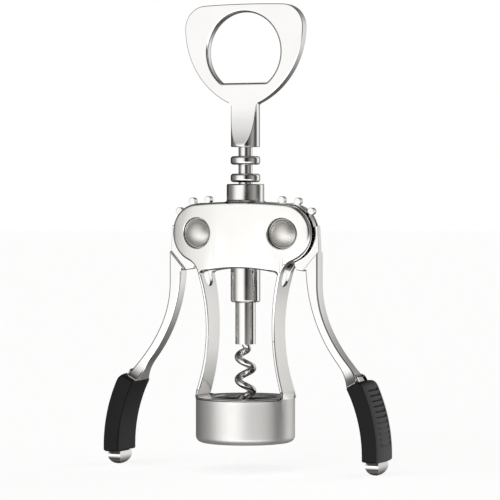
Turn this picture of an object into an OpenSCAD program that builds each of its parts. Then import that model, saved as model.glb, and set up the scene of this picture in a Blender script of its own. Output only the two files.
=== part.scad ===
// Lever corkscrew: a bell on two legs carries a head with two geared levers, which
// raise a ringed rack. A spindle turns inside the rack and joins the opener handle
// to the worm. X runs to the right, Y to the back and Z up. The origin is the centre
// of the bell's lower face, and the levers are modelled down, with the rack raised.

/* [Bell] */
// Outer radius of the bell
bell_r = 19.65; // [19.3:0.05:20.5]
// Height of the bell
bell_h = 17.8; // [17:0.1:19]
// Radius of the bore that goes over the bottle's neck
bottle_r = 15.3; // [14.8:0.1:15.6]
// Depth of that bore, up to the seat for the bottle's lip
seat_z = 8; // [6:0.5:10]
// Radius of the hole that the cork comes up through
cork_r = 12.2; // [12:0.1:12.5]

/* [Legs] */
// Half width of the frame at its waist
waist_x = 14.9; // [14.5:0.1:15.5]
// Height of the waist
waist_z = 45; // [42:0.5:48]
// Radius of the legs' sweep, seen from the front
leg_sweep_r = 80; // [75:1:90]
// Thickness of a leg, seen from the front
leg_t = 1.3; // [1.1:0.1:1.6]
// Half depth of a leg at its thinnest
leg_y = 5.4; // [5:0.1:5.8]

/* [Head] */
// Distance of each lever's pivot from the middle
pivot_x = 18.4; // [18.4:0.1:18.5]
// Height of the pivots
pivot_z = 82.6; // [82.4:0.1:82.8]
// Radius of the head's rounded ends
end_r = 11.6; // [11.2:0.1:12]
// Height of the head's crown
crown_z = 95; // [94.8:0.1:95.4]
// Half depth of the head at its middle
head_y = 7.6; // [7.5:0.1:7.8]
// Radius of the head's bulging faces, seen from above
head_bulge_r = 170; // [160:5:200]
// Radius that those faces turn in at, near the head's ends
head_roll_r = 80; // [74:2:86]
// Half width of the slots that the levers swing in
slot_y = 3.3; // [3.2:0.05:3.4]
// Outer radius of the rack's guide collar
collar_r = 7.43; // [7.2:0.1:7.6]
// Height of the guide collar's top
collar_z = 102; // [101:0.5:102]

/* [Rack] */
// Radius of the rack's rings
ring_r = 5.87; // [5.85:0.01:5.89]
// Thickness of a ring
ring_t = 3.4; // [3.2:0.1:3.4]
// Radius of the rack between its rings
core_r = 2.75; // [2.5:0.05:2.8]
// Height of the lowest ring's middle
low_ring_z = 76.75; // [76.7:0.05:76.8]
// Number of rings
ring_count = 6; // [6:1:6]
// Height of the rack's lower end
rack_z = 55.3; // [54:0.1:57]

/* [Levers] */
// Pitch radius of the levers' gears
pitch_r = 13.2; // [13.2:0.1:13.2]
// Radius of a gear's body under its teeth
root_r = 11.9; // [11.6:0.1:12]
// Radius of a tooth's round end
tooth_r = 1.4; // [1.35:0.05:1.45]
// Half thickness of a gear
gear_y = 1.4; // [1.2:0.1:1.6]
// Half depth of a lever's arm
arm_y = 3; // [2.8:0.1:3.1]
// Half thickness of an arm, seen from the front
arm_t = 1.8; // [1.6:0.1:2]
// Radius of the arm's outward sweep
arm_sweep_r = 60; // [58:1:62]

/* [Grips] */
// Radius of a grip's sweep, to its middle
grip_sweep_r = 60; // [59:0.5:61]
// Thickness of a grip, seen from the front
grip_t = 6.5; // [6:0.1:6.8]
// Half depth of a grip
grip_y = 8.2; // [7.6:0.1:8.6]
// How far a grip's outer face bulges
grip_bulge = 1.2; // [0.8:0.1:1.5]
// Height of the lever's lowest point
tip_z = -11; // [-11.5:0.1:-10.5]

/* [Handle] */
// Half thickness of the opener's plate
plate_y = 2.05; // [1.8:0.05:2.3]
// Height of the handle's top
handle_z = 173; // [172:0.5:174]
// Radius of the opener's round hole
hole_r = 15.64; // [15:0.1:16]
// Height of the hole's centre
hole_z = 154.1; // [153.5:0.1:154.5]
// Height of the hole's flat, which lifts a crown cap
hole_flat_z = 141.9; // [141.5:0.1:143]
// Radius of the neck under the plate
neck_r = 5.73; // [5.6:0.01:5.75]
// Height of the neck's lower face, which rests on the rack
neck_z = 116.6; // [116.6:0.1:117]
// Height of the shoulder that stops the stroke
shoulder_z = 133.4; // [133.2:0.1:134]

/* [Worm] */
// Radius of the collar above the worm
shank_r = 4; // [3.8:0.1:4.2]
// Height of that collar's lower face
shank_z = 38.7; // [38:0.1:40]
// Radius of the worm's coil, to the middle of its wire
coil_r = 2.9; // [2.6:0.1:3.2]
// Radius of the worm's wire
wire_r = 1.4; // [1.2:0.05:1.5]
// Rise of the worm in one turn
worm_pitch = 9; // [8:0.5:10]
// Height of the worm's point
point_z = 9.5; // [9:0.5:10]
// Radius of the spindle that joins the worm to the handle
spindle_r = 1.75; // [1.6:0.05:1.9]

/* [Hidden] */
$fn = 96;
far = 300;

// Fits
run_gap = 0.05;          // radial clearance of a turning pin in its hole
guide_gap = 0.08;        // radial clearance of the rack in its guide
thrust_gap = 0.1;        // end play of the spindle in the rack

// Bell and insert
insert_r = 16.8;
insert_top_z = bell_h - 2;
lip_r = cork_r + 0.4;
bell_round = 2.5;
bell_top_round = 0.4;

// Frame outline, seen from the front
pivot = [pivot_x, pivot_z];
sweep_c = [waist_x + leg_sweep_r, waist_z];
crown_h = crown_z - pivot_z;
crown_r = (pivot_x * pivot_x + crown_h * crown_h - end_r * end_r) / (2 * (crown_h - end_r));
crown_c = [0, crown_z - crown_r];
flare_r = 8;
flare_c = meet(pivot, end_r + flare_r, sweep_c, leg_sweep_r - flare_r, -1);
leg_root_z = bell_h - 3;

// Window between the legs
arch_z = 68.8;
arch_r = 80;
arch_c = [0, arch_z - arch_r];
inner_sweep_r = leg_sweep_r + leg_t;
corner_r = 1;
corner_c = meet(arch_c, arch_r - corner_r, sweep_c, inner_sweep_r + corner_r, 1);

// Head
leg_hollow_r = 256;      // radius of the legs' hollow, seen from the side
leg_hollow_z = 40;
gear_room_r = 15.2;
roll_x = 20;
roll_slope = roll_x / head_bulge_r;
roll_c = [roll_x - head_roll_r * roll_slope, (head_bulge_r - head_roll_r)
    * sqrt(1 - roll_slope * roll_slope) - (head_bulge_r - head_y)];
slot_end_z = 64.8;
guide_r = ring_r + guide_gap;
collar_round = 0.5;

// Rivets
pin_r = 3;
recess_r = 6.1;
recess_y = 4.7;
dome_r = 5.5;
dome_rim = 0.6;
dome_h = 2.2;
dome_sphere_r = (dome_r * dome_r + dome_h * dome_h) / (2 * dome_h);
cap_hole_y = recess_y + 1.6;

// Rack
ring_pitch = pitch_r * PI / 6;
ring_round = 1.1;
plain_top_z = low_ring_z - 5.25;
plain_round = 0.8;
spindle_hole_r = spindle_r + run_gap;

// Levers, drawn as the right one
hub_r = 7;
hub_y = slot_y - 0.3;
tooth_place_r = 13.4;
tooth_neck = 1;
first_tooth = 40.5;
tooth_step = 30;
tooth_count = 6;
shoulder = pivot + 13.5 * [cos(13), sin(13)];
hub_outer_x = 32.1;
step_outer_z = 75.4;
step_inner = [25.4, 67.8];
grip_c = [-4.1, -3.5];
grip_top_a = 29.4;
grip_low_a = -1.9;
arm_turn_a = 38.5;
arm_r = grip_sweep_r - 1.4;
arm_c = grip_c + (arm_r + arm_sweep_r) * [cos(arm_turn_a), sin(arm_turn_a)];
hub_blend_r = 40;
hub_blend_x = hub_outer_x + hub_blend_r;
hub_blend_c = [hub_blend_x, arm_c[1]
    - sqrt(pow(arm_sweep_r - arm_t - hub_blend_r, 2) - pow(arm_c[0] - hub_blend_x, 2))];
arm_end_t = 2.5;
arm_end_y = 6.15;
arm_flare_h = 7;
rim_a = grip_top_a - 1.4;
tang_t = 1.2;
tang_y = 4;
tang_low_a = -4.2;
cap_t = 2.8;
cap_y = 5.25;

// Handle
top_r = 400;
side_c = [-7.5, 163.8];
side_r = 33;
handle_corner_r = 9;
top_c = [0, handle_z - top_r];
handle_corner_c = meet(side_c, side_r - handle_corner_r, top_c, top_r - handle_corner_r, 1);
plate_neck_x = sqrt(neck_r * neck_r - plate_y * plate_y) - 0.05;
neck_blend_r = 1;
neck_blend_x = plate_neck_x + neck_blend_r;
neck_blend_c = [neck_blend_x, side_c[1]
    - sqrt(pow(side_r + neck_blend_r, 2) - pow(neck_blend_x - side_c[0], 2))];
scoop_r = 48;
scoop_z = shoulder_z + 2.3;
hole_corner_r = 1.5;
spindle_top_z = 130;

// Worm
spindle_low_z = 47;
worm_root_z = shank_z + 5;
root_hole_r = wire_r + 0.05;
ease_turn = 0.45;
taper_turn = 0.8;
wire_sides = 12;
turn_steps = 24;

// Points along an arc about c, from angle a to angle b.
function arc(c, r, a, b, n = 24) =
    [for (i = [0:n]) let (t = a + (b - a) * i / n) c + r * [cos(t), sin(t)]];
// Where two circles meet; side picks one of the two points.
function meet(a, ra, b, rb, side) =
    let (d = norm(b - a), u = (b - a) / d,
         t = (ra * ra - rb * rb + d * d) / (2 * d), h = sqrt(ra * ra - t * t))
    a + t * u + side * h * [-u[1], u[0]];
function angle_to(from, to) = let (v = to - from, a = atan2(v[1], v[0])) a < -90 ? a + 360 : a;
function flipped(points) =
    [for (i = [len(points) - 1:-1:0]) [-points[i][0], points[i][1]]];
function both_sides(points) = concat(points, flipped(points));
function ease(t) = let (u = max(0, min(1, t))) u * u * (3 - 2 * u);

// Stands a drawing up: its first axis stays along X and its second runs up Z.
module upright(half_depth) {
    translate([0, half_depth, 0]) rotate([90, 0, 0])
        linear_extrude(2 * half_depth) children();
}
// Stands a side view up: its first axis runs along Y and its second up Z.
module sideways(half_width) {
    translate([-half_width, 0, 0]) rotate([90, 0, 90])
        linear_extrude(2 * half_width) children();
}
module along_y(r, from, to) {
    translate([0, to, 0]) rotate([90, 0, 0]) cylinder(r = r, h = to - from);
}
module box(low, high) {
    translate(low) cube(high - low);
}
module mirrored() {
    mirror([1, 0, 0]) children();
}
module chrome() {
    color([0.86, 0.86, 0.87]) children();
}

// Frame

frame_half = concat(
    arc(crown_c, crown_r, 90, angle_to(crown_c, pivot), 8),
    arc(pivot, end_r, angle_to(crown_c, pivot), angle_to(pivot, flare_c), 48),
    arc(flare_c, flare_r, 180 + angle_to(pivot, flare_c),
        180 + angle_to(flare_c, sweep_c), 16),
    arc(sweep_c, leg_sweep_r, 180 + angle_to(flare_c, sweep_c),
        180 + asin((waist_z - leg_root_z) / leg_sweep_r), 32));

window_half = concat(
    arc(arch_c, arch_r, 90, angle_to(arch_c, corner_c), 16),
    arc(corner_c, corner_r, angle_to(arch_c, corner_c),
        angle_to(corner_c, sweep_c), 8),
    arc(sweep_c, inner_sweep_r, 180 + angle_to(corner_c, sweep_c),
        180 + asin((waist_z - leg_root_z) / inner_sweep_r), 32));

module frame_blank() {
    intersection() {
        upright(head_y + 1) difference() {
            polygon(both_sides(frame_half));
            polygon(both_sides(window_half));
        }
        bulging_faces();
    }
}
// The head seen from above: two shallow arcs that turn in more tightly near the ends.
module bulging_faces() {
    linear_extrude(far) {
        intersection() {
            facing_arcs([0, head_bulge_r - head_y], head_bulge_r);
            square([2 * roll_x, 4 * head_y], center = true);
        }
        for (side = [-1, 1]) intersection() {
            facing_arcs([side * roll_c[0], roll_c[1]], head_roll_r);
            translate([side * (roll_x + end_r) - end_r, -2 * head_y])
                square([2 * end_r, 4 * head_y]);
        }
    }
}
module facing_arcs(c, r) {
    intersection() {
        translate(c) circle(r);
        translate([c[0], -c[1]]) circle(r);
    }
}
module leg_hollows() {
    for (side = [-1, 1])
        translate([0, side * (leg_y + leg_hollow_r), leg_hollow_z])
            rotate([0, 90, 0]) cylinder(r = leg_hollow_r, h = far, center = true, $fn = 200);
}
module bell() {
    rotate_extrude() polygon(concat(
        [[insert_r, 0]],
        arc([bell_r - bell_round, bell_round], bell_round, -90, 0, 10),
        arc([bell_r - bell_top_round, bell_h - bell_top_round], bell_top_round, 0, 90, 3),
        [[lip_r, bell_h], [lip_r, insert_top_z], [insert_r, insert_top_z]]));
}
module leg_feet_trim() {
    difference() {
        box([-far, -far, -1], [far, far, 26]);
        translate([0, 0, -2]) cylinder(r = bell_r, h = 30);
    }
}
module lever_room() {
    translate([pivot_x, 0, pivot_z]) along_y(gear_room_r, -slot_y, slot_y);
    box([pivot_x, -slot_y, slot_end_z], [pivot_x + 13, slot_y, crown_z + 2]);
    box([13, -slot_y, slot_end_z], [pivot_x + 1, slot_y, 70]);
    translate([13, 0, slot_end_z]) rotate([0, 90, 0]) cylinder(r = slot_y, h = 12);
}
module rivet_room() {
    translate([pivot_x, 0, pivot_z]) {
        along_y(pin_r, -head_y, head_y);
        along_y(recess_r, -head_y - 1, -recess_y);
        along_y(recess_r, recess_y, head_y + 1);
    }
}
module guide_collar() {
    rotate_extrude() polygon(concat(
        [[0, crown_z - 1], [collar_r, crown_z - 1]],
        arc([collar_r - collar_round, collar_z - collar_round], collar_round, 0, 90, 4),
        [[0, collar_z]]));
}
module frame_casting() {
    chrome() difference() {
        union() {
            difference() {
                frame_blank();
                leg_hollows();
                leg_feet_trim();
                lever_room();
                mirrored() lever_room();
            }
            bell();
            guide_collar();
        }
        translate([0, 0, arch_z - 4]) cylinder(r = guide_r, h = far);
        rivet_room();
        mirrored() rivet_room();
        translate([0, 0, -1]) cylinder(r = lip_r, h = bell_h + 2);
        translate([0, 0, -1]) cylinder(r = insert_r, h = insert_top_z + 1);
    }
}
module bottle_insert() {
    color([0.08, 0.08, 0.08]) rotate_extrude() polygon([
        [bottle_r, 0], [insert_r, 0], [insert_r, insert_top_z],
        [cork_r, insert_top_z], [cork_r, seat_z], [bottle_r, seat_z]]);
}
module pivot_rivet() {
    translate([pivot_x, 0, pivot_z]) {
        along_y(pin_r, -recess_y, cap_hole_y);
        dome(-1);
    }
}
module rivet_cap() {
    translate([pivot_x, 0, pivot_z]) difference() {
        dome(1);
        along_y(pin_r, 0, cap_hole_y);
    }
}
// A button head on the front (-1) or back (1) of the frame.
module dome(side) {
    rotate([side * -90, 0, 0]) translate([0, 0, recess_y]) rotate_extrude() polygon(concat(
        [[0, 0], [dome_r, 0]],
        arc([0, dome_rim + dome_h - dome_sphere_r], dome_sphere_r,
            asin(1 - dome_h / dome_sphere_r), 90, 16)));
}

// Rack

function ring_outline(z) = concat(
    [[core_r, z - ring_t / 2]],
    arc([ring_r - ring_round, z - ring_t / 2 + ring_round], ring_round, -90, 0, 6),
    arc([ring_r - ring_round, z + ring_t / 2 - ring_round], ring_round, 0, 90, 6),
    [[core_r, z + ring_t / 2]]);
module rack_stem() {
    chrome() rotate_extrude() polygon(concat(
        [[spindle_hole_r, rack_z]],
        arc([ring_r - plain_round, rack_z + plain_round], plain_round, -90, 0, 6),
        arc([ring_r - plain_round, plain_top_z - plain_round], plain_round, 0, 90, 6),
        [[core_r, plain_top_z]],
        [for (i = [0:ring_count - 1]) each ring_outline(low_ring_z + i * ring_pitch)],
        [[core_r, neck_z - thrust_gap], [spindle_hole_r, neck_z - thrust_gap]]));
}

// Levers, drawn as the right one and mirrored for the left

module gear_plate() {
    difference() {
        union() {
            translate([pivot_x, 0, pivot_z]) {
                along_y(root_r, -gear_y, gear_y);
                along_y(hub_r, -hub_y, hub_y);
                for (i = [0:tooth_count - 1])
                    rotate([0, -first_tooth - i * tooth_step, 0]) tooth();
            }
            upright(gear_y) polygon([
                pivot, shoulder, [hub_outer_x, step_outer_z], [hub_outer_x - 1, step_outer_z - 3],
                step_inner + [1, 1], step_inner, step_inner + [-3, 0.4]]);
        }
        translate([pivot_x, 0, pivot_z]) along_y(pin_r + run_gap, -hub_y - 1, hub_y + 1);
    }
}
module tooth() {
    translate([tooth_place_r, 0, 0]) along_y(tooth_r, -gear_y, gear_y);
    box([root_r - 1, -gear_y, -tooth_neck], [tooth_place_r, gear_y, tooth_neck]);
}
// The arm's half thickness swells towards the grip.
function arm_half(a) = arm_t + (arm_end_t - arm_t) * ease((arm_turn_a - a) / (arm_turn_a - rim_a));
function arm_edge(side) = [for (i = [0:12])
    let (a = arm_turn_a + (rim_a - arm_turn_a) * i / 12)
    grip_c + (arm_r + side * arm_half(a)) * [cos(a), sin(a)]];
arm_outline = concat(
    [[hub_outer_x, step_outer_z]],
    arc(hub_blend_c, hub_blend_r, 180, 180 + angle_to(hub_blend_c, arm_c), 20),
    arc(arm_c, arm_sweep_r - arm_t, 180 + angle_to(hub_blend_c, arm_c), 180 + arm_turn_a, 20),
    arm_edge(1),
    reverse(arm_edge(-1)),
    arc(arm_c, arm_sweep_r + arm_t, 180 + arm_turn_a, 182, 28),
    [step_inner]);
function reverse(points) = [for (i = [len(points) - 1:-1:0]) points[i]];
// Half depth of the arm against the distance above its end.
arm_depth = concat(
    [[arm_y, far]],
    [for (i = [0:10]) let (t = i / 10)
        [arm_y + (arm_end_y - arm_y) * t * t, arm_flare_h * (1 - t)]],
    [[arm_end_y, -10]]);
module arm() {
    intersection() {
        upright(arm_end_y + 1) polygon(arm_outline);
        translate([grip_c[0] + arm_r * cos(rim_a), 0, grip_c[1] + arm_r * sin(rim_a)])
            rotate([0, -rim_a, 0]) sideways(far) polygon(both_sides(arm_depth));
    }
}
// A strip swept along the grip's arc; drawing is [radius, depth].
module swept(from_a, to_a) {
    translate([grip_c[0], 0, grip_c[1]]) rotate([90, 0, 0]) rotate([0, 0, from_a])
        rotate_extrude(angle = to_a - from_a, $fn = 360) children();
}
module tang() {
    swept(tang_low_a, grip_top_a + 1)
        translate([grip_sweep_r - tang_t, -tang_y]) square([2 * tang_t, 2 * tang_y]);
}
module lever() {
    gear_plate();
    arm();
    tang();
}
module grip() {
    edge_r = grip_sweep_r + grip_t / 2 + grip_bulge;
    crown_sphere_r = (grip_y * grip_y + grip_bulge * grip_bulge) / (2 * grip_bulge);
    edge_a = asin(grip_y / crown_sphere_r);
    difference() {
        swept(grip_low_a, rim_a) polygon(concat(
            [[grip_sweep_r - grip_t / 2, grip_y], [grip_sweep_r - grip_t / 2, -grip_y]],
            arc([edge_r - crown_sphere_r, 0], crown_sphere_r, -edge_a, edge_a, 12)));
        tang();
    }
}
module lever_tip() {
    cap_x = grip_c[0] + grip_sweep_r * cos(grip_low_a);
    top_z = grip_c[1] + (grip_sweep_r + grip_t / 2 + grip_bulge) * sin(grip_low_a) - 0.05;
    difference() {
        intersection() {
            translate([cap_x, 0, 0]) upright(cap_y + 1)
                polygon(both_sides(cap_side(cap_t, top_z)));
            translate([cap_x, 0, 0]) sideways(10) polygon(both_sides(cap_side(cap_y, top_z)));
        }
        tang();
    }
}
// Half outline of a cap that bulges to a rounded end at tip_z.
function cap_side(half, top_z) = concat(
    [[half * 0.92, top_z]],
    [for (i = [0:14]) let (a = 90 * i / 14)
        [half * cos(a), top_z - 1.2 - (top_z - 1.2 - tip_z) * sin(a)]]);

// Handle

handle_half = concat(
    [[0, neck_z + 8], [plate_neck_x, neck_z + 8]],
    arc(neck_blend_c, neck_blend_r, 180, angle_to(neck_blend_c, side_c), 6),
    arc(side_c, side_r, angle_to(side_c, neck_blend_c), angle_to(side_c, handle_corner_c), 40),
    arc(handle_corner_c, handle_corner_r, angle_to(side_c, handle_corner_c),
        angle_to(top_c, handle_corner_c), 16),
    arc(top_c, top_r, angle_to(top_c, handle_corner_c), 90, 8));
hole_corner_c = [sqrt(pow(hole_r - hole_corner_r, 2)
    - pow(hole_z - hole_flat_z - hole_corner_r, 2)), hole_flat_z + hole_corner_r];
hole_half = concat(
    arc([0, hole_z], hole_r, 90, angle_to([0, hole_z], hole_corner_c), 48),
    arc(hole_corner_c, hole_corner_r, angle_to([0, hole_z], hole_corner_c), -90, 8));
module opener_handle() {
    chrome() difference() {
        union() {
            upright(plate_y) difference() {
                polygon(both_sides(handle_half));
                polygon(both_sides(hole_half));
            }
            difference() {
                translate([0, 0, neck_z]) cylinder(r = neck_r, h = scoop_z - neck_z);
                for (side = [-1, 1])
                    translate([0, side * (plate_y + scoop_r), scoop_z])
                        rotate([0, 90, 0]) cylinder(r = scoop_r, h = 40, center = true, $fn = 180);
            }
        }
        translate([0, 0, neck_z - 1]) cylinder(r = spindle_r, h = spindle_top_z - neck_z + 1);
    }
}

// Spindle and worm

module spindle() {
    chrome() translate([0, 0, spindle_low_z])
        cylinder(r = spindle_r, h = spindle_top_z - spindle_low_z);
}
module worm_collar() {
    chrome() difference() {
        translate([0, 0, shank_z]) cylinder(r = shank_r, h = rack_z - thrust_gap - shank_z);
        translate([0, 0, spindle_low_z]) cylinder(r = spindle_r, h = far);
        translate([0, 0, shank_z - 1]) cylinder(r = root_hole_r, h = worm_root_z - shank_z + 1);
    }
}
worm_turns = (shank_z - point_z) / worm_pitch;
function worm_turn_at(z) = max(0, (shank_z - z) / worm_pitch);
function worm_r(z) = coil_r * ease(worm_turn_at(z) / ease_turn);
function worm_point(z) = let (a = 360 * worm_turn_at(z)) [worm_r(z) * cos(a), worm_r(z) * sin(a), z];
function worm_wire(z) = max(0.15, wire_r * ease(0.12 + 0.88 * (worm_turns - worm_turn_at(z)) / taper_turn));
function unit(v) = v / norm(v);
function wire_ring(z) =
    let (t = unit(worm_point(z - 0.05) - worm_point(z + 0.05)), a = 360 * worm_turn_at(z),
         out = [cos(a), sin(a), 0], n = unit(out - (out * t) * t), b = cross(t, n))
    [for (i = [0:wire_sides - 1]) let (f = 360 * i / wire_sides)
        worm_point(z) + worm_wire(z) * (cos(f) * n + sin(f) * b)];
module worm() {
    steps = round(worm_turns * turn_steps);
    heights = concat([worm_root_z, shank_z + 1.5],
        [for (i = [0:steps]) shank_z - (shank_z - point_z) * i / steps]);
    rings = [for (z = heights) wire_ring(z)];
    last = len(rings) - 1;
    chrome() polyhedron(
        points = [for (ring = rings) each ring],
        faces = concat(
            [[for (i = [0:wire_sides - 1]) i]],
            [for (j = [0:last - 1], i = [0:wire_sides - 1]) let (k = (i + 1) % wire_sides)
                each [[j * wire_sides + i, (j + 1) * wire_sides + i, j * wire_sides + k],
                      [j * wire_sides + k, (j + 1) * wire_sides + i, (j + 1) * wire_sides + k]]],
            [[for (i = [wire_sides - 1:-1:0]) last * wire_sides + i]]),
        convexity = 10);
}

module rubber() {
    color([0.1, 0.1, 0.1]) children();
}
module lever_right() { chrome() lever(); }
module lever_left() { chrome() mirrored() lever(); }
module grip_right() { rubber() grip(); }
module grip_left() { rubber() mirrored() grip(); }
module lever_tip_right() { chrome() lever_tip(); }
module lever_tip_left() { chrome() mirrored() lever_tip(); }
module pivot_rivet_right() { chrome() pivot_rivet(); }
module pivot_rivet_left() { chrome() mirrored() pivot_rivet(); }
module rivet_cap_right() { chrome() rivet_cap(); }
module rivet_cap_left() { chrome() mirrored() rivet_cap(); }

frame_casting();
bottle_insert();
rack_stem();
lever_left();
lever_right();
grip_left();
grip_right();
lever_tip_left();
lever_tip_right();
pivot_rivet_left();
pivot_rivet_right();
rivet_cap_left();
rivet_cap_right();
opener_handle();
spindle();
worm_collar();
worm();
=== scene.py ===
"""A lever corkscrew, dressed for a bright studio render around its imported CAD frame."""
import math

import bmesh
import bpy
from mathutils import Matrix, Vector


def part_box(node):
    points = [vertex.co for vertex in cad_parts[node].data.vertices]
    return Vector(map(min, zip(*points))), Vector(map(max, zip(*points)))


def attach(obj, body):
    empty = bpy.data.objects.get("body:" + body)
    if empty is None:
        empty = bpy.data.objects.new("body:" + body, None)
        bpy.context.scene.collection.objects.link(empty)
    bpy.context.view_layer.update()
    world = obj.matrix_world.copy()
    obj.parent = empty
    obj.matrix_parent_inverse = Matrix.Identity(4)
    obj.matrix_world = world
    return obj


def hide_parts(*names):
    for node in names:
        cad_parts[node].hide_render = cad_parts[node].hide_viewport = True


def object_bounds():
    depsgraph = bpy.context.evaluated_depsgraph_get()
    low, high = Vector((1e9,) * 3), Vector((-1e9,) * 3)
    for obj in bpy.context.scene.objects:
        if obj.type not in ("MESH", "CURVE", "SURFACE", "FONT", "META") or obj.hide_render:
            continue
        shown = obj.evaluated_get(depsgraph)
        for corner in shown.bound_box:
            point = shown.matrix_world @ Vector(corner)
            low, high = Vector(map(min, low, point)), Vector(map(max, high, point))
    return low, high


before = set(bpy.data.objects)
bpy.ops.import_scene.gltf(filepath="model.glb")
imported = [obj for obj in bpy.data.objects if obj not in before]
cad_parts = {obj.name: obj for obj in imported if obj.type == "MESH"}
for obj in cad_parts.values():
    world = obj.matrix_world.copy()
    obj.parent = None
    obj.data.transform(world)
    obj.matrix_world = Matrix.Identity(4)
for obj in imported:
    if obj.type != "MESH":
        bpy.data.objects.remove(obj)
CAD_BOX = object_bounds()
MM = 0.001

# The same sizes as the CAD model's, in metres.
GRIP_CENTRE = Vector((-4.1, 0, -3.5)) * MM
GRIP_R = 60 * MM
GRIP_T = 6.5 * MM
GRIP_Y = 8.2 * MM
GRIP_BULGE = 1.2 * MM
GRIP_TOP_A = math.radians(28.0)
GRIP_LOW_A = math.radians(-1.9)
COIL_R = 2.9 * MM
WIRE_R = 1.4 * MM
WORM_PITCH = 9 * MM
SHANK_Z = 38.7 * MM
POINT_Z = 9.5 * MM
WORM_ROOT_Z = 43.7 * MM


# ---------------------------------------------------------------- camera and studio

CAMERA_AZ = math.radians(24.5)
CAMERA_D = 1.05
CAMERA_Z = 0.100
TARGET_SIDE = 0.0018
TARGET_Z = 0.0759
SENSOR = 36.0
LENS = 191.2


def look_at(obj, target):
    """Turns obj so that its -Z axis points at target, with Y up."""
    obj.rotation_euler = (Vector(target) - obj.location).to_track_quat("-Z", "Y").to_euler()


def add_camera():
    data = bpy.data.cameras.new("camera")
    data.lens = LENS
    data.sensor_width = SENSOR
    data.clip_start = 0.01
    data.clip_end = 50
    camera = bpy.data.objects.new("camera", data)
    bpy.context.scene.collection.objects.link(camera)
    camera.location = (CAMERA_D * math.sin(CAMERA_AZ), -CAMERA_D * math.cos(CAMERA_AZ), CAMERA_Z)
    right = Vector((math.cos(CAMERA_AZ), math.sin(CAMERA_AZ), 0))
    look_at(camera, right * TARGET_SIDE + Vector((0, 0, TARGET_Z)))
    bpy.context.scene.camera = camera


class Nodes:
    """A short way to build a node tree: add nodes, set sockets and link them."""

    def __init__(self, tree):
        self.tree = tree
        tree.nodes.clear()

    def add(self, kind, **settings):
        node = self.tree.nodes.new(kind)
        for name, value in settings.items():
            setattr(node, name, value)
        return node

    def link(self, source, target):
        self.tree.links.new(source, target)

    def math(self, operation, a, b=0.0, clamp=False):
        node = self.add("ShaderNodeMath", operation=operation, use_clamp=clamp)
        for socket, value in zip(node.inputs, (a, b)):
            if isinstance(value, (int, float)):
                socket.default_value = value
            else:
                self.link(value, socket)
        return node.outputs[0]

    def ramp(self, factor, stops):
        node = self.add("ShaderNodeValToRGB")
        elements = node.color_ramp.elements
        while len(elements) > 1:
            elements.remove(elements[-1])
        for i, (place, colour) in enumerate(stops):
            element = elements[0] if i == 0 else elements.new(place)
            element.position = place
            element.color = (*colour, 1)
        self.link(factor, node.inputs[0])
        return node.outputs[0]


def linear(srgb):
    """A display value from 0 to 255, as linear light."""
    v = srgb / 255
    return v / 12.92 if v <= 0.04045 else ((v + 0.055) / 1.055) ** 2.4


def grey(level, warmth=1.0):
    """A grey of that display level, slightly warm where it is dark."""
    light = linear(level)
    cool = 1 - 0.10 * warmth * (1 - level / 255)
    return (light, light * (1 + cool) / 2, light * cool)


# Brightness of the studio walls around the object, by compass angle from the front: bright
# panels in front and to the right rear, with dark gaps between them for chrome to pick up.
STUDIO_RING = (
    (-180, 120), (-158, 112), (-140, 66), (-124, 42), (-106, 66), (-95, 112), (-80, 116),
    (-70, 130), (-60, 152), (-50, 200), (-40, 232), (-31, 250), (-22, 252), (0, 252),
    (8, 240), (15, 190), (21, 110), (27, 40), (34, 36), (43, 74), (53, 106), (64, 126),
    (76, 152), (87, 160), (98, 110), (112, 66), (124, 120), (134, 236), (144, 248),
    (156, 217), (166, 170), (180, 120))
# What replaces the walls higher up and lower down, by elevation: its level and its weight.
STUDIO_RISE = (
    (-90, 150, 1.0), (-72, 110, 1.0), (-56, 60, 1.0), (-38, 60, 0.9), (-22, 60, 0.6),
    (-8, 60, 0.0), (10, 60, 0.03), (28, 60, 0.27), (46, 60, 0.66), (60, 60, 1.0),
    (70, 70, 1.0), (80, 190, 1.0), (90, 225, 1.0))
WORLD_STRENGTH = 1.12
# A bright reflector low in front: its strength by compass angle and by elevation.
REFLECTOR = 1.5
REFLECTOR_AROUND = ((-60, 0.0), (-20, 0.6), (10, 1.0), (55, 1.0), (85, 0.25), (110, 0.0))
REFLECTOR_RISE = ((-50, 0.0), (-30, 1.0), (-16, 1.0), (-2, 0.0))


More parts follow.
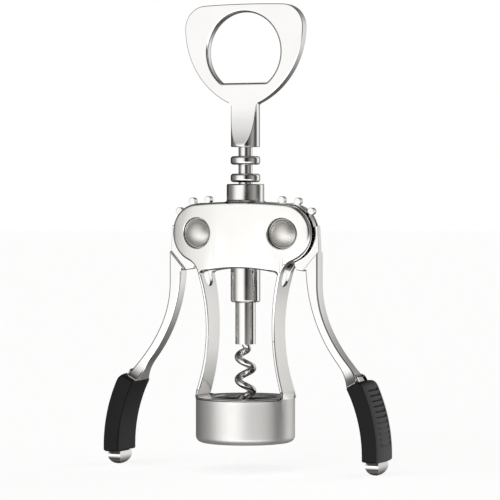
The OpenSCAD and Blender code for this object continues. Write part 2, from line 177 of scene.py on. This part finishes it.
def add_world():
    world = bpy.data.worlds.new("studio")
    bpy.context.scene.world = world
    world.use_nodes = True
    n = Nodes(world.node_tree)
    direction = n.add("ShaderNodeTexCoord").outputs["Generated"]
    split = n.add("ShaderNodeSeparateXYZ")
    n.link(direction, split.inputs[0])
    x, y, z = split.outputs
    turn = n.math("ARCTAN2", x, n.math("MULTIPLY", y, -1.0))
    around = n.math("ADD", n.math("DIVIDE", turn, 2 * math.pi), 0.5)
    walls = n.ramp(around, [((a + 180) / 360, grey(v)) for a, v in STUDIO_RING])
    rise = n.math("ADD", n.math("DIVIDE", n.math("ARCSINE", z), math.pi), 0.5)
    other = n.ramp(rise, [((e + 90) / 180, grey(v)) for e, v, w in STUDIO_RISE])
    weight = n.ramp(rise, [((e + 90) / 180, (w, w, w)) for e, v, w in STUDIO_RISE])
    mix = n.add("ShaderNodeMix", data_type="RGBA")
    n.link(weight, mix.inputs["Factor"])
    n.link(walls, mix.inputs["A"])
    n.link(other, mix.inputs["B"])
    glow = n.math("MULTIPLY",
                  n.ramp(around, [((a + 180) / 360, (w, w, w)) for a, w in REFLECTOR_AROUND]),
                  n.ramp(rise, [((e + 90) / 180, (w, w, w)) for e, w in REFLECTOR_RISE]))
    lit = n.add("ShaderNodeMix", data_type="RGBA", blend_type="ADD")
    lit.inputs["Factor"].default_value = 1.0
    n.link(mix.outputs["Result"], lit.inputs["A"])
    n.link(n.math("MULTIPLY", glow, REFLECTOR), lit.inputs["B"])
    background = n.add("ShaderNodeBackground")
    n.link(lit.outputs["Result"], background.inputs["Color"])
    background.inputs["Strength"].default_value = WORLD_STRENGTH
    n.link(background.outputs[0], n.add("ShaderNodeOutputWorld").inputs["Surface"])


FLOOR_R = 6.0
FLOOR_GLOW = 0.80


def add_stage_piece(name, bm, shade):
    """A floor or backdrop that the object's polished faces don't mirror."""
    mesh = bpy.data.meshes.new(name)
    bm.to_mesh(mesh)
    bm.free()
    material = bpy.data.materials.new(name)
    material.use_nodes = True
    n = Nodes(material.node_tree)
    n.link(shade(n), n.add("ShaderNodeOutputMaterial").inputs["Surface"])
    mesh.materials.append(material)
    piece = bpy.data.objects.new(name, mesh)
    piece.visible_glossy = False
    bpy.context.scene.collection.objects.link(piece)
    return piece


def pale_floor(n):
    shader = n.add("ShaderNodeBsdfPrincipled")
    shader.inputs["Base Color"].default_value = (0.8, 0.8, 0.8, 1)
    shader.inputs["Roughness"].default_value = 1.0
    shader.inputs["Specular IOR Level"].default_value = 0.0
    shader.inputs["Emission Color"].default_value = (1, 1, 1, 1)
    shader.inputs["Emission Strength"].default_value = FLOOR_GLOW
    return shader.outputs[0]


def white_backdrop(n):
    glow = n.add("ShaderNodeEmission")
    glow.inputs["Color"].default_value = (1, 1, 1, 1)
    return glow.outputs[0]


def add_stage():
    """A pale floor under the levers' tips, and a white backdrop that only the camera sees."""
    bm = bmesh.new()
    bmesh.ops.create_circle(bm, cap_ends=True, segments=96, radius=FLOOR_R)
    floor = add_stage_piece("floor", bm, pale_floor)
    floor.location = (0, 0, CAD_BOX[0][2])
    bm = bmesh.new()
    bmesh.ops.create_uvsphere(bm, u_segments=48, v_segments=24, radius=FLOOR_R * 1.05)
    backdrop = add_stage_piece("backdrop", bm, white_backdrop)
    backdrop.visible_diffuse = False
    backdrop.visible_transmission = False
    backdrop.visible_shadow = False


# ---------------------------------------------------------------- materials

def surface(name, base, metallic, roughness, bump_scale, bump, stretch=(1, 1, 1),
            rough_spread=0.03, tint=0.02, edge=0.15 * MM, crevice_shade=0.0, satin_below=None,
            shine=0.5, painted_side_light=0.0):
    """A metal, rubber or plastic whose colour, roughness and surface vary finely.

    stretch is the grain's scale along X, Y and Z, edge is how wide a sharp edge looks, and
    crevice is how much painted shade makes the colour darker in narrow gaps. Below the height
    satin_below the surface is satin.
    painted_side_light is painted light: it lightens the colour of the faces that look away from
    the object's middle plane, as if light fell on them from the side.
    """
    material = bpy.data.materials.new(name)
    material.use_nodes = True
    n = Nodes(material.node_tree)
    shader = n.add("ShaderNodeBsdfPrincipled")
    shader.inputs["Specular IOR Level"].default_value = shine
    coordinates = n.add("ShaderNodeTexCoord")
    place = coordinates.outputs["Object"]
    scaled = n.add("ShaderNodeMapping")
    scaled.inputs["Scale"].default_value = stretch
    n.link(place, scaled.inputs["Vector"])

    cloud = n.add("ShaderNodeTexNoise")
    cloud.inputs["Scale"].default_value = 60
    cloud.inputs["Detail"].default_value = 4
    n.link(place, cloud.inputs["Vector"])
    low = [c * (1 - tint) for c in base]
    high = [min(1, c * (1 + tint)) for c in base]
    colour = n.ramp(cloud.outputs["Fac"], [(0.3, low), (0.7, high)])
    # Painted light: faces turned away from the middle plane get a lighter colour, as if lit from
    # the side.
    if painted_side_light:
        facing = n.add("ShaderNodeSeparateXYZ")
        n.link(coordinates.outputs["Normal"], facing.inputs[0])
        side = n.add("ShaderNodeSeparateXYZ")
        n.link(place, side.inputs[0])
        outward = n.math("MULTIPLY", facing.outputs["X"],
                         n.math("SIGN", side.outputs["X"]))
        lit_side_mix = n.add("ShaderNodeMix", data_type="RGBA")
        n.link(n.ramp(outward, [(0.55, (0, 0, 0)), (0.85, (1, 1, 1))]), lit_side_mix.inputs["Factor"])
        n.link(colour, lit_side_mix.inputs["A"])
        lit_side_mix.inputs["B"].default_value = (*[c + painted_side_light for c in base], 1)
        colour = lit_side_mix.outputs["Result"]
    # Painted shade: ambient occlusion makes the base colour darker in narrow gaps and recesses.
    if crevice_shade:
        gap = n.add("ShaderNodeAmbientOcclusion", samples=8)
        gap.inputs["Distance"].default_value = CREVICE_SHADE_REACH
        dark = n.ramp(gap.outputs["AO"], [(0.15, [1 - crevice_shade] * 3), (0.75, (1, 1, 1))])
        shade_mix = n.add("ShaderNodeMix", data_type="RGBA", blend_type="MULTIPLY")
        shade_mix.inputs["Factor"].default_value = 1.0
        n.link(colour, shade_mix.inputs["A"])
        n.link(dark, shade_mix.inputs["B"])
        colour = shade_mix.outputs["Result"]
    n.link(colour, shader.inputs["Base Color"])

    grain = n.add("ShaderNodeTexNoise")
    grain.inputs["Scale"].default_value = bump_scale
    grain.inputs["Detail"].default_value = 3
    n.link(scaled.outputs[0], grain.inputs["Vector"])
    spread = n.add("ShaderNodeMapRange")
    spread.inputs["From Min"].default_value = 0.3
    spread.inputs["From Max"].default_value = 0.7
    spread.inputs["To Min"].default_value = max(0.02, roughness - rough_spread)
    spread.inputs["To Max"].default_value = roughness + rough_spread
    n.link(grain.outputs["Fac"], spread.inputs["Value"])
    rough = spread.outputs[0]
    if satin_below is None:
        shader.inputs["Metallic"].default_value = metallic
    else:
        height = n.add("ShaderNodeSeparateXYZ")
        n.link(place, height.inputs[0])
        satin = n.add("ShaderNodeMapRange")
        satin.inputs["From Min"].default_value = satin_below
        satin.inputs["From Max"].default_value = satin_below - 0.3 * MM
        n.link(height.outputs["Z"], satin.inputs["Value"])
        rough = n.math("ADD", rough, n.math("MULTIPLY", satin.outputs[0], SATIN_ROUGHNESS))
        n.link(n.math("SUBTRACT", metallic, n.math("MULTIPLY", satin.outputs[0], SATIN_HAZE)),
               shader.inputs["Metallic"])
    n.link(rough, shader.inputs["Roughness"])

    relief = n.add("ShaderNodeBump")
    relief.inputs["Strength"].default_value = bump
    relief.inputs["Distance"].default_value = 0.05 * MM
    n.link(grain.outputs["Fac"], relief.inputs["Height"])
    if edge:
        rounded = n.add("ShaderNodeBevel", samples=4)
        rounded.inputs["Radius"].default_value = edge
        n.link(rounded.outputs[0], relief.inputs["Normal"])
    n.link(relief.outputs[0], shader.inputs["Normal"])
    n.link(shader.outputs[0], n.add("ShaderNodeOutputMaterial").inputs["Surface"])
    return material


# How far the painted shade in narrow gaps reaches.
CREVICE_SHADE_REACH = 1.6 * MM
SATIN_ROUGHNESS = 0.26     # added to the bell's roughness
SATIN_HAZE = 0.15          # taken from its metallic value
BELL_TOP_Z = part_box("bottle_insert")[1][2] + 1.9 * MM
# The crevice setting paints shade into the colour of narrow gaps.
POLISHED = surface("polished_chrome", (0.90, 0.89, 0.875), 1.0, 0.05, 500, 0.01, crevice_shade=0.5)
SATIN = surface("satin_chrome", (0.90, 0.89, 0.87), 1.0, 0.16, 900, 0.02, crevice_shade=0.6,
                satin_below=BELL_TOP_Z)
RIVET = surface("rivet_steel", (0.92, 0.90, 0.86), 1.0, 0.50, 900, 0.02, crevice_shade=0.6)
TIP = surface("polished_tip", (0.90, 0.89, 0.875), 1.0, 0.20, 500, 0.01, crevice_shade=0.5)
WORM = surface("worm_steel", (0.80, 0.79, 0.77), 1.0, 0.12, 900, 0.03)
# The rubber's outer faces get a lighter colour as painted light.
RUBBER = surface("black_rubber", (0.006, 0.006, 0.006), 0.0, 0.42, 2400, 0.30,
                 rough_spread=0.08, tint=0.15, edge=0, crevice_shade=0.8, shine=0.2, painted_side_light=0.07)
PLASTIC = surface("black_plastic", (0.018, 0.018, 0.018), 0.0, 0.42, 1500, 0.15,
                  rough_spread=0.06, tint=0.1)

NODE_MATERIALS = {
    "frame_casting": SATIN, "bottle_insert": PLASTIC, "rack_stem": POLISHED,
    "lever_left": POLISHED, "lever_right": POLISHED, "grip_left": RUBBER, "grip_right": RUBBER,
    "lever_tip_left": TIP, "lever_tip_right": TIP,
    "pivot_rivet_left": RIVET, "pivot_rivet_right": RIVET,
    "rivet_cap_left": RIVET, "rivet_cap_right": RIVET, "opener_handle": POLISHED,
    "spindle": WORM, "worm_collar": POLISHED, "worm": WORM}


def dress_cad_nodes():
    for name, material in NODE_MATERIALS.items():
        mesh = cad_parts[name].data
        mesh.materials.clear()
        mesh.materials.append(material)


# ---------------------------------------------------------------- rounded castings

WELD_GAP = 0.002 * MM
FLAT = math.radians(0.05)
SHARP = math.radians(28)
MAX_ROUNDING = 1.2 * MM

# Where the rounding changes, all in mm
PIVOT_X, PIVOT_Z = 18.4, 82.6
HOLE_Z = 154.1
FOOT_Z = 17.3              # the frame's edges below this stay sharp
SLOT_HALF_Y = 3.5          # the edges of the levers' slots lie within this
RECESS_R = 7               # the rims of the rivets' recesses lie within this
WINDOW_HALF_X, WINDOW_TOP_Z = 13.5, 70
HOLE_RIM_R = 16.4          # the rim of the handle's hole lies within this
NECK_TOP_Z = 132
PLATE_FOOT_X, PLATE_FOOT_Z = 6, 137


def smooth(t):
    """Goes from 0 to 1 as t does, level at both ends."""
    t = max(0.0, min(1.0, t))
    return t * t * (3 - 2 * t)


def between(value, low, high, at_low, at_high):
    """A size that goes smoothly from at_low to at_high as value goes from low to high."""
    return at_low + (at_high - at_low) * smooth((value - low) / (high - low))


def frame_rounding(x, y, z):
    """How far the frame's sharp edges are rounded at a point, all in mm."""
    if z < FOOT_Z:
        return 0.0
    if abs(y) < SLOT_HALF_Y:
        return 0.2
    if math.hypot(abs(x) - PIVOT_X, z - PIVOT_Z) < RECESS_R:
        return 0.35
    if abs(x) < WINDOW_HALF_X and z < WINDOW_TOP_Z:
        return between(z, 64, 67, 0.5, 0.75)
    return between(z, 62, 76, 0.5, 1.2)


def handle_rounding(x, y, z):
    """The same for the handle: most around its hole, and none where its neck begins."""
    if math.hypot(x, z - HOLE_Z) < HOLE_RIM_R:
        return 1.1
    if z < NECK_TOP_Z:
        return 0.3
    return 0.0 if abs(x) < PLATE_FOOT_X and z < PLATE_FOOT_Z else 0.45


def lever_rounding(x, y, z):
    """The same for a lever: little on its gear, and more on its arm."""
    return between(math.hypot(abs(x) - PIVOT_X, z - PIVOT_Z), 14, 17, 0.2, 0.75)


def finish_piece(bm, name, body, slot, material, *replaced):
    """Makes a piece of a bmesh that rides on body and stands for the replaced nodes."""
    mesh = bpy.data.meshes.new(name)
    bm.to_mesh(mesh)
    bm.free()
    mesh.shade_smooth()
    mesh.materials.append(material)
    piece = bpy.data.objects.new(name, mesh)
    bpy.context.scene.collection.objects.link(piece)
    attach(piece, body)
    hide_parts(*replaced)
    return piece


def make_rounded(node, name, body, slot, material, rounding, cuts=()):
    """A copy of a CAD node whose sharp edges are rounded, cut across at the given heights.

    The cuts stop the shading of a long face from leaning towards its far end.
    """
    bm = bmesh.new()
    bm.from_mesh(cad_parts[node].data)
    bmesh.ops.remove_doubles(bm, verts=bm.verts, dist=WELD_GAP)
    bmesh.ops.dissolve_limit(bm, angle_limit=FLAT, verts=bm.verts, edges=bm.edges)
    for z in cuts:
        bmesh.ops.bisect_plane(bm, geom=[*bm.verts, *bm.edges, *bm.faces], dist=WELD_GAP,
                               plane_co=(0, 0, z), plane_no=(0, 0, 1))
    weight = bm.edges.layers.float.new("bevel_weight_edge")
    for edge in bm.edges:
        if edge.is_manifold and edge.calc_face_angle() > SHARP:
            middle = (edge.verts[0].co + edge.verts[1].co) / 2 / MM
            edge[weight] = rounding(*middle) * MM / MAX_ROUNDING
    piece = finish_piece(bm, name, body, slot, material, node)
    round_off = piece.modifiers.new("round_off", "BEVEL")
    round_off.width = MAX_ROUNDING
    round_off.limit_method = "WEIGHT"
    round_off.segments = 4
    round_off.use_clamp_overlap = False
    round_off.loop_slide = False
    even = piece.modifiers.new("even", "WEIGHTED_NORMAL")
    even.mode = "FACE_AREA"
    even.weight = 90
    return piece


# ---------------------------------------------------------------- grips

GRIP_STEPS = 300           # rings along a grip
RIB_COUNT = 11
PANEL_TOP_A = math.radians(25.0)
PANEL_LOW_A = math.radians(3.5)
PANEL_HALF_Y = 5.4 * MM
PANEL_SINK = 0.15 * MM
GROOVE_DEPTH = 0.5 * MM
SHARP_R = 0.35 * MM        # rounding of the outer ridges
SOFT_R = 0.9 * MM          # rounding of the inner edges
END_R = 0.7 * MM           # rounding of the two ends
TOP_CORNER_R = 3.2 * MM    # rounding of the outer face's top and lower corners
LOW_CORNER_R = 1.2 * MM
RIDGE_TURN = 70            # degrees that the section turns through at an outer ridge
FACE_POINTS = 48           # points across the grip's outer face


def rounded_corner(offset, y, radius, start, turn, steps):
    """Points of a rounded corner about (offset, y), from start on through turn degrees."""
    points = []
    for i in range(steps + 1):
        a = math.radians(start + turn * i / steps)
        points.append((offset + radius * math.cos(a), y + radius * math.sin(a)))
    return points


def grip_section():
    """The grip's cross-section as (radial offset, depth), anticlockwise from the front."""
    half = GRIP_T / 2
    rest = 90 - RIDGE_TURN
    points = rounded_corner(-half + SOFT_R, -GRIP_Y + SOFT_R, SOFT_R, 180, 90, 12)
    points += rounded_corner(half - SHARP_R, -GRIP_Y + SHARP_R, SHARP_R, 270, RIDGE_TURN, 8)
    edge_y = GRIP_Y - SHARP_R * (1 - math.sin(math.radians(rest)))
    for i in range(1, FACE_POINTS):
        y = -edge_y + 2 * edge_y * i / FACE_POINTS
        points.append((half + GRIP_BULGE * (1 - (y / GRIP_Y) ** 2), y))
    points += rounded_corner(half - SHARP_R, GRIP_Y - SHARP_R, SHARP_R, rest, RIDGE_TURN, 8)
    points += rounded_corner(-half + SOFT_R, GRIP_Y - SOFT_R, SOFT_R, 90, 90, 12)
    return points


def rib_sink(a, y):
    """How far the ribbed panel sits below the grip's outer face at angle a and depth y."""
    border = 0.5 * MM
    across = smooth((PANEL_HALF_Y - abs(y)) / border)
    below_top = smooth((PANEL_TOP_A - a) * GRIP_R / border)
    above_low = smooth((a - PANEL_LOW_A) * GRIP_R / border)
    inside = across * below_top * above_low
    if not inside:
        return 0.0
    t = (PANEL_TOP_A - a) / (PANEL_TOP_A - PANEL_LOW_A)
    wave = 0.5 - 0.5 * math.cos(2 * math.pi * RIB_COUNT * t)
    near_border = smooth((abs(y) - PANEL_HALF_Y + 1.3 * MM) / (0.6 * MM))
    fade = 1 - 0.65 * smooth((t - 0.45) / 0.25) * (1 - near_border)
    return inside * (PANEL_SINK + GROOVE_DEPTH * fade * wave ** 1.5)


def corner_sink(a):
    """How far the outer face falls away at angle a, towards the grip's two ends."""
    sink = 0.0
    for r, gap in ((TOP_CORNER_R, GRIP_TOP_A - a), (LOW_CORNER_R, a - GRIP_LOW_A)):
        near = 1 - gap * GRIP_R / r
        if near > 0:
            sink += 0.65 * r * (1 - math.sqrt(max(0.0, 1 - near * near)))
    return sink


def skin(rings):
    """Faces between equal rings of points, as a mesh, with its two ends filled."""
    bm = bmesh.new()
    rows = [[bm.verts.new(p) for p in ring] for ring in rings]
    count = len(rows[0])
    for low, high in zip(rows, rows[1:]):
        for i in range(count):
            j = (i + 1) % count
            bm.faces.new((low[i], low[j], high[j], high[i]))
    bm.faces.new(list(reversed(rows[0])))
    bm.faces.new(rows[-1])
    bmesh.ops.recalc_face_normals(bm, faces=bm.faces)
    return bm


def grip_ring(section, a, inset, side):
    """The cross-section at angle a, drawn in by inset towards its middle."""
    ring = []
    out = Vector((math.cos(a), 0, math.sin(a)))
    for offset, y in section:
        shrink = inset / (GRIP_T / 2)
        outer = smooth(offset / (GRIP_T * 0.4))
        sunk = offset - outer * corner_sink(a) - (rib_sink(a, y) if outer == 1.0 else 0.0)
        centre = GRIP_CENTRE + out * (GRIP_R + sunk * (1 - shrink))
        ring.append(Vector((side * centre.x, y * (1 - inset / GRIP_Y), centre.z)))
    return ring


def make_grip(name, body, side):
    section = grip_section()
    end_turn = END_R / GRIP_R
    rings = [(GRIP_LOW_A + end_turn * (1 - math.cos(math.radians(90 * i / 8))),
              END_R * (1 - math.sin(math.radians(90 * i / 8)))) for i in range(9)]
    low, high = GRIP_LOW_A + end_turn, GRIP_TOP_A - end_turn
    rings += [(low + (high - low) * i / GRIP_STEPS, 0.0) for i in range(1, GRIP_STEPS)]
    rings += [(GRIP_TOP_A - end_turn * (1 - math.cos(math.radians(90 * i / 8))),
               END_R * (1 - math.sin(math.radians(90 * i / 8)))) for i in range(8, -1, -1)]
    bm = skin([grip_ring(section, a, inset, side) for a, inset in rings])
    return finish_piece(bm, name, body, "black_rubber", RUBBER, "grip_" + name.split("_")[0])


# ---------------------------------------------------------------- worm

WORM_SIDES = 28
WORM_STEPS_PER_TURN = 96
EASE_TURN = 0.45
TAPER_TURN = 0.8


def worm_turn(z):
    return max(0.0, (SHANK_Z - z) / WORM_PITCH)


def worm_point(z):
    r = COIL_R * smooth(worm_turn(z) / EASE_TURN)
    a = 2 * math.pi * worm_turn(z)
    return Vector((r * math.cos(a), r * math.sin(a), z))


def make_worm():
    """The worm's wire, which leaves the collar on its axis and coils out and down to a point."""
    turns = (SHANK_Z - POINT_Z) / WORM_PITCH
    steps = round(turns * WORM_STEPS_PER_TURN)
    heights = [WORM_ROOT_Z, SHANK_Z + 1.5 * MM]
    heights += [SHANK_Z - (SHANK_Z - POINT_Z) * i / steps for i in range(steps + 1)]
    rings = []
    for z in heights:
        here = worm_point(z)
        run = (worm_point(z - 0.05 * MM) - worm_point(z + 0.05 * MM)).normalized()
        a = 2 * math.pi * worm_turn(z)
        out = Vector((math.cos(a), math.sin(a), 0))
        out = (out - out.dot(run) * run).normalized()
        across = run.cross(out)
        r = WIRE_R * max(0.1, smooth(0.12 + 0.88 * (turns - worm_turn(z)) / TAPER_TURN))
        rings.append([here + r * (math.cos(f) * out + math.sin(f) * across)
                      for f in (2 * math.pi * i / WORM_SIDES for i in range(WORM_SIDES))])
    return finish_piece(skin(rings), "worm_wire", "handle", "worm_steel", WORM, "worm")


# ---------------------------------------------------------------- the scene

scene = bpy.context.scene
scene.view_settings.view_transform = "Standard"
add_camera()
add_world()
add_stage()
dress_cad_nodes()
make_rounded("frame_casting", "frame_body", "frame", "satin_chrome", SATIN, frame_rounding,
             [z * MM for z in (4, 8, 12, 15, 17.4, 20, 24, 28, 40, 52, 64)])
make_rounded("opener_handle", "opener_plate", "handle", "polished_chrome", POLISHED,
             handle_rounding, [128 * MM])
make_rounded("lever_left", "left_arm", "left_lever", "polished_chrome", POLISHED,
             lever_rounding)
make_rounded("lever_right", "right_arm", "right_lever", "polished_chrome", POLISHED,
             lever_rounding)
make_grip("right_grip_rubber", "right_lever", 1)
make_grip("left_grip_rubber", "left_lever", -1)
make_worm()
